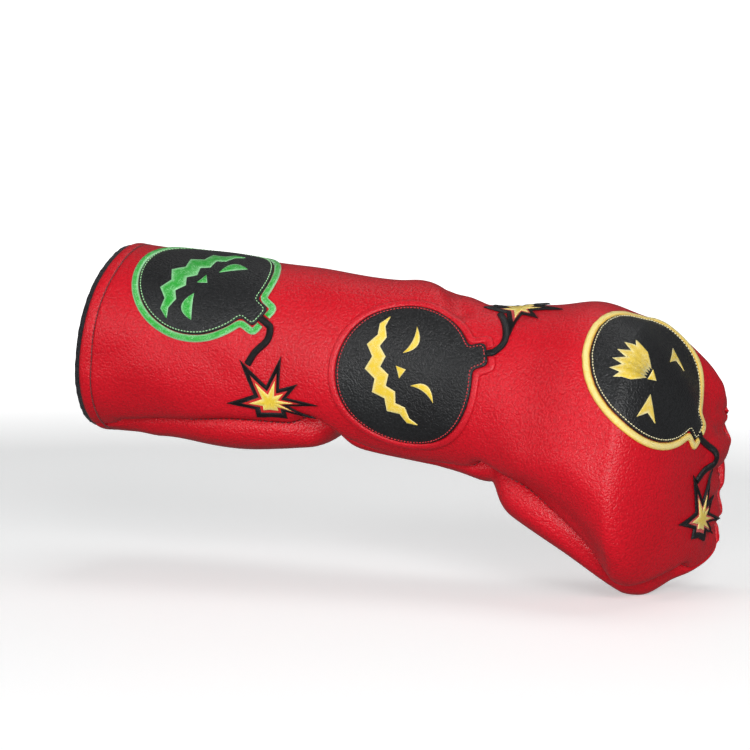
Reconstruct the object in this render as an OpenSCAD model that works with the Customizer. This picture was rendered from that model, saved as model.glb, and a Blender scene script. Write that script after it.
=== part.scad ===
// Padded leather cover for a driver, lying on its side: an open mouth, a tapered sleeve,
// a gathered neck and a head pocket. Origin at the centre of the mouth, +X from the mouth
// to the crown, -Y to the decorated front, +Z up.

/* [Sleeve] */
// Height of the mouth
mouth_h = 106; // [98:1:110]
// Depth of the mouth, front to back
mouth_d = 94; // [88:1:98]
// Height of the neck
neck_h = 94; // [88:1:98]
// Depth of the neck, front to back
neck_d = 68; // [64:1:74]
// Distance from the mouth to the middle of the neck
neck_x = 178; // [168:1:186]

/* [Head] */
// Height of the head pocket
head_h = 140; // [132:1:144]
// Depth of the head pocket, front to back
head_d = 110; // [104:1:112]
// Length from the neck to the head's widest section
head_x = 121; // [116:1:126]
// Length of the rounded end past the widest section
crown = 38; // [35:1:41]

/* [Layers] */
// Thickness of the leather
leather_t = 1.2; // [1:0.1:1.3]
// Thickness of the foam
foam_t = 4; // [3:0.5:4.5]
// Thickness of the fleece lining
lining_t = 2.5; // [2:0.5:3]
// Thickness of a sewn-on patch
patch_t = 0.8; // [0.6:0.1:1]

/* [Appliques] */
// Radius of the two appliques on the sleeve
patch_r = 38; // [34:1:39]
// Radius of the applique on the head
head_patch_r = 38; // [34:1:39]
// Width of the satin border round each applique
border_w = 4; // [3:0.5:4.5]
// Length of a burst's longest ray
ray_r = 28; // [25:1:29]

/* [Hidden] */

// Cross-sections along the cover, each an ellipse: x, z of the centre, lean in degrees,
// half height, half depth, and the angle at which the bottom seam crosses it.
// A place on the skin is [u, a]: u counts sections, a is the angle round the section,
// 0 at the front, 90 on top.
SECTIONS = [
    [0, 0, 10, mouth_h / 2, mouth_d / 2, -68],
    [0.24 * neck_x, -3, 9, 0.96 * mouth_h / 2, mouth_d / 2, -58],
    [0.48 * neck_x, -8, 6, 0.98 * mouth_h / 2, 0.94 * mouth_d / 2, -43],
    [0.73 * neck_x, -9, 6, neck_h / 2, 0.5 * neck_d + 4, -54],
    [neck_x, -15, 7, neck_h / 2, neck_d / 2, -80],
    [neck_x + 0.32 * head_x, -23, 6, neck_h / 2, neck_d / 2 + 2, -62],
    [neck_x + 0.56 * head_x, -33, 8, 0.81 * head_h / 2, 0.77 * head_d / 2, -42],
    [neck_x + 0.79 * head_x, -41, 5, 0.94 * head_h / 2, 0.93 * head_d / 2, -51],
    [neck_x + head_x, -52, 5, head_h / 2, head_d / 2, -72]
];
LAST = len(SECTIONS) - 1;
// The crown closes to one upright seam line behind the middle, so that the front panel
// wraps over the end. It loses this share of its height there.
CROWN_LOSS = 0.5;
CROWN_LEAN = 5;
CROWN_BACK = 46;
CROWN_EASE = 0.75;
CROWN_DIP = atan2(SECTIONS[LAST][1] - SECTIONS[LAST - 1][1],
                  SECTIONS[LAST][0] - SECTIONS[LAST - 1][0]);
// The panels' top seam lies this far behind the top, and they stop short of the crown seam.
TOP_SEAM = 27;
SEAM_GAP = 0.5;
CROWN_STOP = 0.994;

// Depths below the leather's face, with a slack layer of air under the leather
FOAM_SLACK = 0.5;
FOAM_TOP = -leather_t - FOAM_SLACK;
FOAM_LOW = FOAM_TOP - foam_t;
LINING_TOP = FOAM_LOW - 0.2;
LINING_LOW = LINING_TOP - lining_t;
ELASTIC_T = 1.6;
LINING_PROUD = -0.03;
BINDING_W = 0.14;

// Heights above the leather's face
PATCH_LOW = 0.4;
PATCH_TOP = PATCH_LOW + patch_t;
THREAD_LOW = 0.3;
THREAD_TOP = 0.8;
FACE_TOP = PATCH_TOP + 0.6;

// Stub on an applique, where its fuse starts
STUB_HALF = 6.5;
STUB_LONG = 8.5;
STITCH_INSET = 2;
FUSE_HALF = 1.9;
// Rays of the bursts, as [direction, share of the longest], and the depth of their valleys
RAYS = [
    [[120, 1], [70, 0.96], [30, 0.7], [-5, 0.96], [-30, 0.92], [-62, 0.5], [-135, 0.46],
     [-180, 0.88]],
    [[341, 1], [312, 0.8], [275, 1], [200, 0.7], [150, 0.9], [105, 0.6], [65, 0.9], [20, 0.55]]
];
VALLEY = 0.34;
// Shares of a burst's rays and valleys at the edges of its outline, fill and core
FULL = [1, 1];
EDGE_IN = [0.68, 0.72];
FILL_OUT = [0.66, 0.7];
FILL_IN = [0.48, 0.46];
CORE = [0.46, 0.42];
FAN_RAYS = 36;
FAN_STEP = 2.2;

// An applique: centre, radius, direction of its stub, route of its fuse past the border,
// centre, turn and rays of its burst, shift of its face, mouth [half span, radius, height of
// its centre, thickness, teeth, their depth, taper], eyes [width, rise, fall, tilt, apart, up,
// pointed], colour of the thread and the border
GREEN = [[1.4, 55], patch_r - 1, -30, [[2.5, 21], [2.49, 13.5], [2.36, 6], [2.34, 3]],
    [[2.56, -26], 0, 0], [4, 5], [48, 38, 24, 13, 6, 4, 2], [15, 0.4, 6.5, 40, 15, 6, 0],
    "lime"];
RED = [[4.12, 2.5], patch_r, 26, [[5.5, 40], [5.47, 48], [5.42, 52]],
    [[5.45, 84], 0, 1], [-3, 0], [47, 40, 26, 10, 6, 3.8, 2],
    [15, 5.5, -1.4, 40, 14.5, 7, 0], "gold"];
GOLD = [[8.24, 53], head_patch_r, -16, [[8.8, 19], [8.81, 11], [8.75, 6], [8.73, 4]],
    [[8.74, -27], -4, 0], [9, 0], [37, 16, 3, 19, 6, 4, 10], [12, 14, -3, 118, 20, 9, 1],
    "moccasin"];

function unit(v) = v / norm(v);
function curve(a, b, c, d, t) =
    0.5 * (2 * b + (c - a) * t + (2 * a - 5 * b + 4 * c - d) * t * t
        + (3 * b - a - 3 * c + d) * t * t * t);
function row(list, i) =
    let (n = len(list) - 1)
    i < 0 ? 2 * list[0] - list[1] : i > n ? 2 * list[n] - list[n - 1] : list[i];
function along(list, u) =
    let (i = max(0, min(floor(u), len(list) - 2)))
    curve(row(list, i - 1), row(list, i), row(list, i + 1), row(list, i + 2), u - i);

// Point of the skin at section u and angle a, raised by o
function skin(u, a, o = 0) =
    let (s = along(SECTIONS, min(u, LAST)),
         p = 90 * max(0, min(1, u - LAST)),
         turn = pow(1 - cos(p), CROWN_EASE),
         lean = s[2] + (CROWN_LEAN - s[2]) * turn,
         run = (crown + o) * sin(p),
         h = s[3] * (1 - CROWN_LOSS * turn) + o,
         d = (s[4] + o) * cos(p))
    [s[0] + cos(CROWN_DIP) * run + h * sin(a) * sin(lean),
     CROWN_BACK * turn - d * cos(a),
     s[1] + sin(CROWN_DIP) * run + h * sin(a) * cos(lean)];
function bottom_seam(u) =
    let (p = 90 * max(0, min(1, u - LAST)))
    -90 + (along(SECTIONS, min(u, LAST))[5] + 90) * cos(p);
function top_seam(u) = 90 + TOP_SEAM * cos(90 * max(0, min(1, u - LAST)));

// A patch sewn to the skin lies flat: distances are true along rays from its centre.
function du(p) = (skin(p[0] + 0.002, p[1]) - skin(p[0] - 0.002, p[1])) / 0.004;
function da(p) = (skin(p[0], p[1] + 1) - skin(p[0], p[1] - 1)) / 2;
function step_on(p, t, s) =
    let (U = du(p), A = da(p), E = U * U, F = U * A, G = A * A, k = E * G - F * F)
    [p[0] + s * (G * (t * U) - F * (t * A)) / k, p[1] + s * (E * (t * A) - F * (t * U)) / k];
function turned(p, t) = let (n = unit(cross(du(p), da(p)))) unit(t - (t * n) * n);
function ray(c, dir, steps) =
    [for (i = 0, p = c, t = dir, q = c; i <= steps;
          i = i + 1, q = step_on(p, t, FAN_STEP), t = turned(q, t), p = q) p];
function fan(c, reach) =
    let (e = unit(du(c)), n = unit(cross(du(c), da(c))), f = cross(n, e))
    [for (k = [0:FAN_RAYS - 1])
        ray(c, e * cos(k * 360 / FAN_RAYS) + f * sin(k * 360 / FAN_RAYS),
            ceil(reach / FAN_STEP))];
// Place [u, a] of the flat point p of a patch, read off its fan of rays
function lay(fan, p) =
    let (r = norm(p) / FAN_STEP, i = min(floor(r), len(fan[0]) - 2), f = r - i,
         w = (atan2(p[1], p[0]) + 360) * FAN_RAYS / 360, k = floor(w), g = w - k,
         a = fan[k % FAN_RAYS], b = fan[(k + 1) % FAN_RAYS])
    (1 - g) * ((1 - f) * a[i] + f * a[i + 1]) + g * ((1 - f) * b[i] + f * b[i + 1]);
function raise_net(net, o) = [for (line = net) [for (p = line) skin(p[0], p[1], o)]];

// Closed solid between two nets of points, the first on top. A round net closes on itself,
// and a capped one starts at a single centre point.
module shell(top, low, closed = false, cap = false) {
    m = len(top);
    n = len(top[0]);
    w = closed ? n : n - 1;
    k = m * n;
    first = cap ? 1 : 0;
    function at(i, j) = i * n + j % n;
    function quad(a, b, c, d) = [[a, b, c], [a, c, d]];
    polyhedron(
        points = [for (net = [top, low]) for (line = net) for (p = line) p],
        faces = concat(
            [for (i = [first:m - 2]) for (j = [0:w - 1])
                each quad(at(i, j), at(i, j + 1), at(i + 1, j + 1), at(i + 1, j))],
            [for (i = [first:m - 2]) for (j = [0:w - 1])
                each quad(k + at(i, j), k + at(i + 1, j), k + at(i + 1, j + 1), k + at(i, j + 1))],
            [for (j = [0:w - 1])
                each quad(at(m - 1, j), at(m - 1, j + 1), k + at(m - 1, j + 1), k + at(m - 1, j))],
            cap ? [for (j = [0:w - 1]) [0, at(1, j + 1), at(1, j)]] :
                [for (j = [0:w - 1])
                    each quad(at(0, j + 1), at(0, j), k + at(0, j), k + at(0, j + 1))],
            cap ? [for (j = [0:w - 1]) [k, k + at(1, j), k + at(1, j + 1)]] : [],
            closed ? [] : [for (i = [0:m - 2])
                each quad(at(i, 0), at(i + 1, 0), k + at(i + 1, 0), k + at(i, 0))],
            closed ? [] : [for (i = [0:m - 2])
                each quad(at(i + 1, n - 1), at(i, n - 1), k + at(i, n - 1),
                          k + at(i + 1, n - 1))]),
        convexity = 10);
}

// Part of the skin from section u0 to u1, round the whole cover
module tube(rows, top, low, sides = 24) {
    net = [for (u = rows) [for (j = [0:sides - 1]) [u, -90 + j * 360 / sides]]];
    shell(raise_net(net, top), raise_net(net, low), closed = true);
}

// Flat strip of a given half width along a route of places on the skin
module ribbon(route, half, low, top) {
    n = len(route) - 1;
    mid = [for (p = route) skin(p[0], p[1], low)];
    side = [for (i = [0:n])
        unit(cross(cross(du(route[i]), da(route[i])),
                   mid[min(i + 1, n)] - mid[max(i - 1, 0)]))];
    function net(o) = [for (i = [0:n])
        [for (s = [-half, half]) skin(route[i][0], route[i][1], o) + s * side[i]]];
    shell(net(top), net(low));
}

function smooth(route, parts) =
    [for (i = [0:parts * (len(route) - 1)]) along(route, i / parts)];
function radial(r, a) = [r * cos(a), r * sin(a)];
// Distance from an applique's centre to its outline, grown by g, at angle a from its stub
function outline(m, a, g) =
    cos(a) < 0.5 ? m[1] + g :
        max(m[1] + g, min((m[1] + STUB_LONG + g) / cos(a),
                          (STUB_HALF + g) / max(0.01, abs(sin(a)))));
function corner(g, r) = asin((STUB_HALF + g) / r);
function spokes(m) =
    let (near = [0, corner(0, m[1] + STUB_LONG + 0.9), corner(0, m[1]),
                 corner(border_w, m[1] + STUB_LONG + border_w + 1),
                 corner(border_w, m[1] + border_w)])
    concat(near, [for (k = [3:45]) k * 7.5], [for (k = [4:-1:1]) 360 - near[k]]);
// Face drawings are made with x to the right and y towards the stub.
function upright(m, p) =
    let (q = p + m[5])
    [q[0] * sin(m[2]) + q[1] * cos(m[2]), -q[0] * cos(m[2]) + q[1] * sin(m[2])];
function applique_fan(m) = fan(m[0], m[1] + STUB_LONG + border_w);

module drawing(m, top_edge, low_edge, rows = 2) {
    f = applique_fan(m);
    net = [for (i = [0:len(top_edge) - 1]) [for (t = [0:rows])
        lay(f, upright(m, ((rows - t) * low_edge[i] + t * top_edge[i]) / rows))]];
    shell(raise_net(net, FACE_TOP), raise_net(net, PATCH_TOP + 0.1));
}

module patch(m) {
    f = applique_fan(m);
    a = spokes(m);
    net = [for (k = [0:5]) [for (b = a) lay(f, radial(outline(m, b, 0) * k / 5, m[2] + b))]];
    shell(raise_net(net, PATCH_TOP), raise_net(net, PATCH_LOW), closed = true, cap = true);
}

// Ring round the patch, open where the fuse leaves the stub
module border(m) {
    f = applique_fan(m);
    a = spokes(m);
    gap = asin((FUSE_HALF + 0.6) / (m[1] + STUB_LONG));
    b = concat([gap], [for (k = [1:len(a) - 1]) a[k]], [360 - gap]);
    net = [for (g = [0.2, border_w]) [for (c = b) lay(f, radial(outline(m, c, g), m[2] + c))]];
    shell(raise_net(net, PATCH_TOP + 0.2), raise_net(net, PATCH_LOW));
}

module run_stitch(m) {
    f = applique_fan(m);
    count = 40;
    function place(a) = lay(f, radial(outline(m, a, -STITCH_INSET), m[2] + a));
    for (k = [2:count - 2]) {
        a = k * 360 / count;
        ribbon([place(a - 3), place(a + 3)], 0.4, PATCH_TOP + 0.1, FACE_TOP);
    }
}

// Crescent grin, both edges of it cut into teeth in step
module mouth(m) {
    g = m[6];
    n = 2 * g[4];
    function half(s) = max(0.3, g[3] / 2 * pow(1 - pow(abs(s), g[6]), 0.8));
    function zig(k, s) = g[5] / 2 * (k % 2 == 0 ? -1 : 1) * (1 - pow(s, 4));
    function edge(side) =
        [for (k = [0:n])
            let (s = 2 * k / n - 1, r = g[1] + side * half(s))
            [0, g[2]] + radial(r + zig(k, s) * r / g[1], 270 + s * g[0])];
    drawing(m, edge(-1), edge(1), max(2, ceil(g[3] / 3)));
}

// Half moon, leaf or triangle between two arcs or slopes
module spot(m, at, w, rise, fall, tilt, pointed) {
    function swell(t) = pointed == 1 ? 1 - abs(t) : 1 - t * t;
    function put(x, y) =
        [at[0] + x * cos(tilt) - y * sin(tilt), at[1] + x * sin(tilt) + y * cos(tilt)];
    t = [for (k = [-4:4]) k / 4];
    drawing(m, [for (v = t) put(v * w / 2, 0.3 + rise * swell(v))],
            [for (v = t) put(v * w / 2, -fall * swell(v))]);
}

module nose(m) { spot(m, [0, -3], 6.5, 5, 0.3, 0, 1); }

module eye(m, side) {
    e = m[7];
    turn = e[6] == 1 ? e[3] : side * e[3];
    spot(m, [side * e[4], e[5]], e[0], e[1], e[2], turn, e[6]);
}

// Cord shape from the stub's tip through the gap in the border to the burst
module fuse(m) {
    f = applique_fan(m);
    start = [for (g = [0.3, border_w + 1.5]) lay(f, radial(m[1] + STUB_LONG + g, m[2]))];
    ribbon(smooth(concat(start, m[3]), 4), FUSE_HALF, PATCH_LOW, PATCH_TOP);
}

// Outline of a burst, its rays and its valleys cut to shares of their full length, with a
// point in the middle of each edge
function star(m, tips, valleys) =
    let (rays = RAYS[m[4][2]],
         n = len(rays),
         rim = [for (k = [0:n])
             let (ray = rays[k % n],
                  d = m[4][1] + ray[0],
                  gap = (ray[0] - rays[(k + 1) % n][0] + 360) % 360)
             each [radial(ray_r * ray[1] * tips, d),
                   radial(ray_r * VALLEY * valleys, d - gap / 2)]])
    [for (k = [2 * n - 1:-1:0]) each [rim[k + 1], (rim[k] + rim[k + 1]) / 2]];

// Band of a burst between two sizes of it, each a share of its rays and of its valleys
module burst(m, inner, outer) {
    f = fan(m[4][0], ray_r + 2);
    near = star(m, inner[0], inner[1]);
    far = star(m, outer[0], outer[1]);
    net = [for (t = [0:0.5:1])
        [for (k = [0:len(far) - 1]) lay(f, (1 - t) * near[k] + t * far[k])]];
    shell(raise_net(net, PATCH_TOP), raise_net(net, PATCH_LOW), closed = true,
          cap = inner[0] == 0);
}

PANEL_ROWS = concat([for (i = [0:32]) i / 4], [for (i = [1:5]) LAST + i / 6], [LAST + CROWN_STOP]);

module front_panel() color("crimson") {
    net = [for (u = PANEL_ROWS) [for (j = [0:22])
        [u, bottom_seam(u) + (top_seam(u) - bottom_seam(u)) * j / 22]]];
    shell(raise_net(net, 0), raise_net(net, -leather_t));
}

module back_panel() color("firebrick") {
    net = [for (u = PANEL_ROWS) [for (j = [0:20])
        let (a = top_seam(u) + SEAM_GAP, b = 360 + bottom_seam(u) - SEAM_GAP)
        [u, a + (b - a) * j / 20]]];
    shell(raise_net(net, 0), raise_net(net, -leather_t));
}

module mouth_binding() color("black")
    tube([LINING_PROUD, BINDING_W / 2, BINDING_W], FOAM_TOP, FOAM_LOW, 36);

module sleeve_foam() color("gray")
    tube(concat([BINDING_W + 0.01], [for (i = [1:8]) i / 2]), FOAM_TOP, FOAM_LOW);

module head_foam() color("gray")
    tube(concat([5.5, 6, 6.5, 7, 7.5], [for (i = [0:5]) LAST + i / 6], [LAST + 0.998]),
         FOAM_TOP, FOAM_LOW);

module lining() color("dimgray")
    tube(concat([LINING_PROUD], [for (i = [1:15]) i / 2], [for (i = [0:5]) LAST + i / 6],
                [LAST + 0.998]), LINING_TOP, LINING_LOW);

module elastic_band() color("dimgray")
    tube([for (i = [0:4]) 4.3 + i / 4], FOAM_TOP, FOAM_TOP - ELASTIC_T);

module hem_stitching() color("maroon") {
    count = 56;
    for (k = [0:count - 1]) {
        a = (k + 0.5) * 360 / count;
        ribbon([[0.16, a - 1.9], [0.16, a + 1.9]], 0.4, THREAD_LOW, THREAD_TOP);
    }
}

module bottom_seam_thread() color("darkred")
    ribbon([for (i = [0:34]) let (u = 0.2 + i / 4.4) [u, bottom_seam(u) - SEAM_GAP / 2]],
           0.5, THREAD_LOW, THREAD_TOP);

module top_seam_thread() color("darkred")
    ribbon([for (i = [0:34]) let (u = 0.2 + i / 4.4) [u, top_seam(u) + SEAM_GAP / 2]],
           0.5, THREAD_LOW, THREAD_TOP);

module crown_seam_thread() {
    function line(o) = [for (a = [-84:14:84])
        [for (side = [-0.5, 0.5]) skin(LAST + 1, a, o) + [0, side, 0]]];
    color("darkred") shell(line(THREAD_TOP), line(THREAD_LOW));
}

front_panel();
back_panel();
mouth_binding();
sleeve_foam();
head_foam();
lining();
elastic_band();
hem_stitching();
bottom_seam_thread();
top_seam_thread();
crown_seam_thread();
color("black") patch(GREEN);  // green_patch
color(GREEN[8]) border(GREEN);  // green_border
color(GREEN[8]) run_stitch(GREEN);  // green_run_stitch
color(GREEN[8]) mouth(GREEN);  // green_mouth
color(GREEN[8]) nose(GREEN);  // green_nose
color(GREEN[8]) eye(GREEN, -1);  // green_eye_left
color(GREEN[8]) eye(GREEN, 1);  // green_eye_right
color("black") fuse(GREEN);  // green_fuse
color("black") burst(GREEN, EDGE_IN, FULL);  // green_burst_outline
color("red") burst(GREEN, FILL_IN, FILL_OUT);  // green_burst_fill
color("yellow") burst(GREEN, [0, 0], CORE);  // green_burst_core
color("black") patch(RED);  // red_patch
color(RED[8]) border(RED);  // red_border
color(RED[8]) run_stitch(RED);  // red_run_stitch
color(RED[8]) mouth(RED);  // red_mouth
color(RED[8]) nose(RED);  // red_nose
color(RED[8]) eye(RED, -1);  // red_eye_left
color(RED[8]) eye(RED, 1);  // red_eye_right
color("black") fuse(RED);  // red_fuse
color("black") burst(RED, EDGE_IN, FULL);  // red_burst_outline
color("red") burst(RED, FILL_IN, FILL_OUT);  // red_burst_fill
color("yellow") burst(RED, [0, 0], CORE);  // red_burst_core
color("black") patch(GOLD);  // gold_patch
color(GOLD[8]) border(GOLD);  // gold_border
color(GOLD[8]) run_stitch(GOLD);  // gold_run_stitch
color(GOLD[8]) mouth(GOLD);  // gold_mouth
color(GOLD[8]) nose(GOLD);  // gold_nose
color(GOLD[8]) eye(GOLD, -1);  // gold_eye_left
color(GOLD[8]) eye(GOLD, 1);  // gold_eye_right
color("black") fuse(GOLD);  // gold_fuse
color("black") burst(GOLD, EDGE_IN, FULL);  // gold_burst_outline
color("red") burst(GOLD, FILL_IN, FILL_OUT);  // gold_burst_fill
color("yellow") burst(GOLD, [0, 0], CORE);  // gold_burst_core
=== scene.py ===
"""Driver head cover: the looks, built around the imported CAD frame.

Every leather, foam and thread piece is laid on one skin, which is worked out in millimetres in the
CAD model's frame. A place on the skin is (u, a): u counts the cross-sections from the mouth, and a
is the angle round the section in degrees, 0 at the decorated front and 90 on top.
"""
import math

import bpy
import numpy as np
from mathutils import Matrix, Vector


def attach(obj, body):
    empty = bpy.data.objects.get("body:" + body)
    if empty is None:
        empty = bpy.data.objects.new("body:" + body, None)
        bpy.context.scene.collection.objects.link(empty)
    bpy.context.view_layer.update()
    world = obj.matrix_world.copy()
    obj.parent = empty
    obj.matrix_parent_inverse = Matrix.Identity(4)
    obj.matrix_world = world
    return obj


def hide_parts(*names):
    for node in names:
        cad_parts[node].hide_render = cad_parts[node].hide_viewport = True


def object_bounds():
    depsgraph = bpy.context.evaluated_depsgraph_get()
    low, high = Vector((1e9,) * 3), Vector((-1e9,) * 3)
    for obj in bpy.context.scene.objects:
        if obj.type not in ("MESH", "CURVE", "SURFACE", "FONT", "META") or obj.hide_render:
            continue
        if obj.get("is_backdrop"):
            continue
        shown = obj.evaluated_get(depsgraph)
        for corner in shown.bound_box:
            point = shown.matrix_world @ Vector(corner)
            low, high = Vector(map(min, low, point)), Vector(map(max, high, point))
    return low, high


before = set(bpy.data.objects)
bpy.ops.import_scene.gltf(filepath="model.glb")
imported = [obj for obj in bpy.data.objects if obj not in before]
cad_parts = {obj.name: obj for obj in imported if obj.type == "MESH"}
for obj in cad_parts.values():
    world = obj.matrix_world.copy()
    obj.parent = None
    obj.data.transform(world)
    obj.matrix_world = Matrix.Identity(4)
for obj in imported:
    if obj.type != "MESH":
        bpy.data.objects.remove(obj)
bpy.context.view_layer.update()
MM = 0.001

# ---------------------------------------------------------------- driving dimensions, in mm
MOUTH_H, MOUTH_D = 106.0, 94.0
NECK_H, NECK_D, NECK_X = 94.0, 68.0, 178.0
HEAD_H, HEAD_D, HEAD_X, CROWN = 140.0, 110.0, 121.0, 38.0
LEATHER_T, FOAM_T, LINING_T = 1.2, 4.0, 2.5
FOAM_SLACK = 0.5
PATCH_R, HEAD_PATCH_R, BORDER_W, RAY_R = 38.0, 38.0, 4.0, 28.0
STUB_HALF, STUB_LONG, FUSE_HALF = 6.5, 8.5, 1.9

# x, z, lean in degrees, half height, half depth, angle of the bottom seam
SECTIONS = np.array([
    [0, 0, 10, MOUTH_H / 2, MOUTH_D / 2, -68],
    [0.24 * NECK_X, -3, 9, 0.96 * MOUTH_H / 2, MOUTH_D / 2, -58],
    [0.48 * NECK_X, -8, 6, 0.98 * MOUTH_H / 2, 0.94 * MOUTH_D / 2, -43],
    [0.73 * NECK_X, -9, 6, NECK_H / 2, 0.5 * NECK_D + 4, -54],
    [NECK_X, -15, 7, NECK_H / 2, NECK_D / 2, -80],
    [NECK_X + 0.32 * HEAD_X, -23, 6, NECK_H / 2, NECK_D / 2 + 2, -62],
    [NECK_X + 0.56 * HEAD_X, -33, 8, 0.81 * HEAD_H / 2, 0.77 * HEAD_D / 2, -42],
    [NECK_X + 0.79 * HEAD_X, -41, 5, 0.94 * HEAD_H / 2, 0.93 * HEAD_D / 2, -51],
    [NECK_X + HEAD_X, -52, 5, HEAD_H / 2, HEAD_D / 2, -72],
], float)
LAST = len(SECTIONS) - 1
CROWN_LOSS, CROWN_LEAN, CROWN_BACK, CROWN_EASE = 0.5, 5.0, 46.0, 0.75
CROWN_DIP = math.atan2(SECTIONS[-1][1] - SECTIONS[-2][1], SECTIONS[-1][0] - SECTIONS[-2][0])
TOP_SEAM = 27.0

FOAM_TOP = -LEATHER_T - 2.4
FOAM_LOW = -LEATHER_T - FOAM_SLACK - FOAM_T
LINING_TOP = FOAM_LOW - 0.2
LINING_LOW = LINING_TOP - LINING_T


def along(table, u):
    """Smooth curve through the rows of a table, read at row number u."""
    table = np.asarray(table, float)
    n = len(table)
    u = np.clip(np.asarray(u, float), -0.2, n - 1)
    i = np.clip(np.floor(u).astype(int), 0, n - 2)
    f = (u - i)[..., None]
    b, c = table[i], table[i + 1]
    a = np.where((i > 0)[..., None], table[np.maximum(i - 1, 0)], 2 * b - c)
    d = np.where((i < n - 2)[..., None], table[np.minimum(i + 2, n - 1)], 2 * c - b)
    return 0.5 * (2 * b + (c - a) * f + (2 * a - 5 * b + 4 * c - d) * f ** 2
                  + (3 * b - a - 3 * c + d) * f ** 3)


def crown_phase(u):
    return np.clip(u - LAST, 0, 1) * math.pi / 2


def base(u, a, o=0.0):
    """Point of the smooth skin, raised by o: the same surface as the CAD model's."""
    u, a, o = np.broadcast_arrays(np.asarray(u, float), np.asarray(a, float),
                                  np.asarray(o, float))
    s = along(SECTIONS, np.minimum(u, LAST))
    p = crown_phase(u)
    turn = (1 - np.cos(p)) ** CROWN_EASE
    lean = np.radians(s[..., 2] + (CROWN_LEAN - s[..., 2]) * turn)
    run = (CROWN + o) * np.sin(p)
    h = s[..., 3] * (1 - CROWN_LOSS * turn) + o
    d = (s[..., 4] + o) * np.cos(p)
    sin_a, cos_a = np.sin(np.radians(a)), np.cos(np.radians(a))
    return np.stack([s[..., 0] + math.cos(CROWN_DIP) * run + h * sin_a * np.sin(lean),
                     CROWN_BACK * turn - d * cos_a,
                     s[..., 1] + math.sin(CROWN_DIP) * run + h * sin_a * np.cos(lean)], -1)


def bottom_seam(u):
    return -90 + (along(SECTIONS, np.minimum(u, LAST))[..., 5] + 90) * np.cos(crown_phase(u))


def top_seam(u):
    return 90 + TOP_SEAM * np.cos(crown_phase(u))


def unit(v):
    return v / np.maximum(np.linalg.norm(v, axis=-1, keepdims=True), 1e-9)


# ---------------------------------------------------------------- folds of the leather
def near(points, route, width):
    """How near each point is to a route of places on the skin: 1 on it, fading over width."""
    line = along(route, np.linspace(0, len(route) - 1, 16 * len(route)))
    line = base(line[:, 0], line[:, 1])
    far = np.full(points.shape[:-1], 1e9)
    for p in line:
        far = np.minimum(far, ((points - p) ** 2).sum(-1))
    return np.exp(-far / width ** 2)


def seam_route(u0, u1, shift=0.0):
    return [[u, float(bottom_seam(np.float64(u))) + shift] for u in np.linspace(u0, u1, 12)]


# Creases and swellings: a route, its height in mm (negative for a crease) and its width in mm
FOLDS = [
    # seams under the sleeve and the head, where the lower panel hangs behind the front one
    (seam_route(0.5, 3.1), -3.0, 5),
    (seam_route(3.1, 5.4), -1.6, 4),
    (seam_route(5.4, 8.5), -5.5, 6),
    (seam_route(0.9, 2.9, -16), 2.6, 12),
    (seam_route(5.7, 8.1, -18), 3.4, 12),
    # the front panel's rounded lower edge on the head, and the hollow under it
    ([[6.2, -20], [7.09, -10], [7.56, -12], [7.91, -18], [8.06, -36], [8.09, -66]], 3.2, 13),
    ([[6.3, -34], [6.8, -36], [7.3, -40], [7.7, -48]], -2.4, 8),
    # pinches at both ends of the neck, and creases on top of it
    ([[2.98, -52], [3.12, -62], [3.2, -85], [3.25, -115]], -7.0, 7),
    ([[5.35, -54], [5.4, -66], [5.45, -85], [5.5, -115]], -6.0, 8),
    ([[5.0, 100], [5.25, 86], [5.5, 72]], -2.6, 12),
    ([[4.3, 92], [4.45, 76], [4.62, 61]], -3.0, 6),
    ([[3.9, 96], [4.2, 78]], 1.8, 9),
    # pulls at the mouth, beside the first burst and across the head
    ([[0.25, -12], [0.7, -3], [1.1, 8]], -1.3, 9),
    ([[1.7, 4], [2.0, -8]], -1.1, 8),
    ([[2.7, -36], [3.0, -46]], -1.8, 6),
    ([[6.0, 20], [6.4, 0]], -1.0, 14),
    ([[8.1, 84], [8.45, 76], [8.72, 56]], -3.5, 18),
    ([[8.1, 102], [8.5, 100], [8.8, 96]], 2.5, 13),
    # puckers along the crown's seam
    ([[8.98, 70], [8.84, 64]], -1.8, 4),
    ([[8.98, 42], [8.86, 38]], -2.6, 4),
    ([[8.96, 26], [8.84, 20]], 2.6, 9),
    ([[8.98, 2], [8.86, 0]], -3.6, 5),
    ([[8.98, -18], [8.86, -20]], -1.6, 4),
    ([[8.98, -46], [8.84, -50]], -2.2, 5),
    ([[8.98, -34], [8.9, -36]], 1.4, 7),
    ([[8.98, 100], [8.8, 106]], -1.8, 5),
    ([[8.98, 132], [8.82, 138]], -2.2, 5),
    ([[8.98, 165], [8.84, 168]], -2.4, 5),
    ([[8.98, 200], [8.82, 198]], -2.2, 5),
    ([[8.98, 236], [8.84, 232]], -2.0, 5),
    # the plain back: soft diagonal pulls towards the neck
    ([[2.6, 150], [3.4, 165], [4.2, 176]], -1.8, 9),
    ([[2.4, 215], [3.4, 205], [4.2, 198]], -1.6, 8),
    ([[5.3, 150], [6.2, 158], [7.0, 170]], -1.8, 10),
    ([[5.4, 212], [6.2, 222], [7.2, 228]], -2.0, 10),
]
GATHER_PITCH = 7.5
GATHER_DEPTH = 1.3


def bump_at(x, middle, half):
    return np.exp(-((x - middle) / half) ** 4)


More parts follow.
